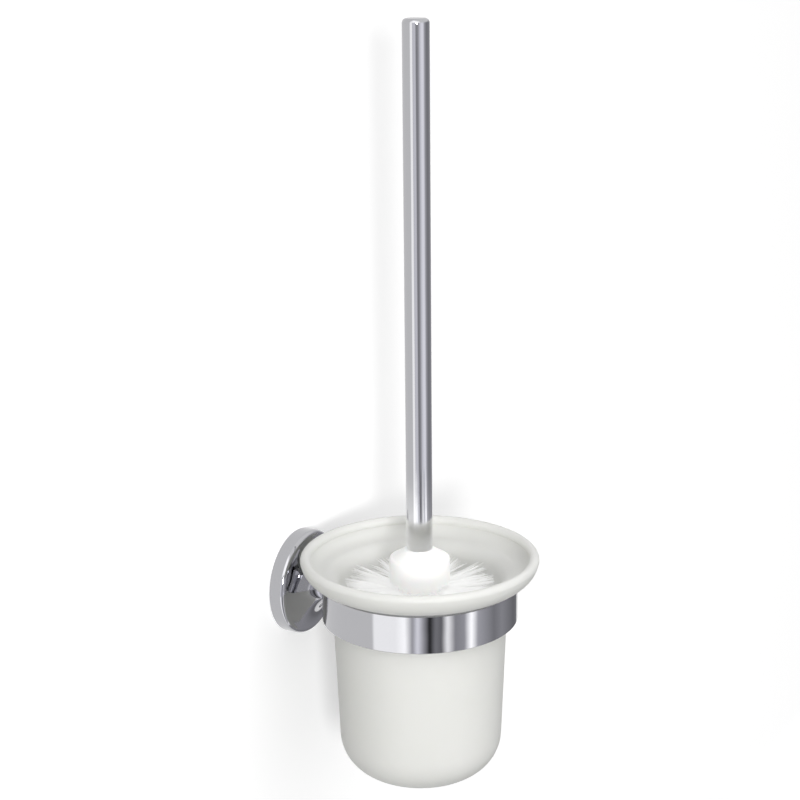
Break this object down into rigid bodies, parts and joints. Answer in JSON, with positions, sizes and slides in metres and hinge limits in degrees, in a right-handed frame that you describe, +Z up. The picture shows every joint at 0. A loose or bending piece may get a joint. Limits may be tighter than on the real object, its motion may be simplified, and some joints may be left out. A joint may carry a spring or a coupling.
{
  "type": "toilet brush holder",
  "caption": "Wall-mounted toilet brush holder: a round chrome rosette and ring carry a frosted glass cup with a flared mouth, and a brush with a straight tube handle stands in it.",
  "frame": {"origin": "centre of the wall plate's back face, on the wall and on the post's axis", "axes": "+Y points into the wall (the back face's outward normal), +Z is up along the handle, +X is to the right when facing the wall"},
  "size_m": [0.1144, 0.1271, 0.3624],
  "materials": {
    "polished_chrome": "mirror polished plating",
    "plain_steel": "bright zinc plated",
    "brass": "turned",
    "frosted_glass": "acid frosted, milky white",
    "clear_liner": "clear moulded",
    "white_plastic": "smooth moulded",
    "bristle": "soft filament tufts"
  },
  "bodies": {
    "holder": {"wall_plate": "polished_chrome", "rosette": "polished_chrome", "grub_screw": "plain_steel", "post_screw": "plain_steel", "post_washer": "plain_steel", "arm_post": "polished_chrome", "ring_screw": "plain_steel", "holder_ring": "polished_chrome", "ring_liner": "clear_liner"},
    "cup": {"glass_cup": "frosted_glass"},
    "brush": {"handle_tube": "polished_chrome", "handle_end_cap": "polished_chrome", "thread_insert": "brass", "head_stud": "plain_steel", "brush_core": "white_plastic", "tuft_anchors": "plain_steel", "end_tufts": "bristle", "tuft_row_01": "bristle", "tuft_row_02": "bristle", "tuft_row_03": "bristle", "tuft_row_04": "bristle", "tuft_row_05": "bristle", "tuft_row_06": "bristle", "tuft_row_07": "bristle", "tuft_row_08": "bristle", "tuft_row_09": "bristle", "tuft_row_10": "bristle"}
  },
  "joints": [
    {"name": "cup_lift", "type": "slide", "parent": "holder", "child": "cup", "axis": [0, 0, 1], "range_m": [0, 0.13]},
    {"name": "brush_lift", "type": "slide", "parent": "cup", "child": "brush", "axis": [0, 0, 1], "range_m": [0, 0.13]}
  ]
}
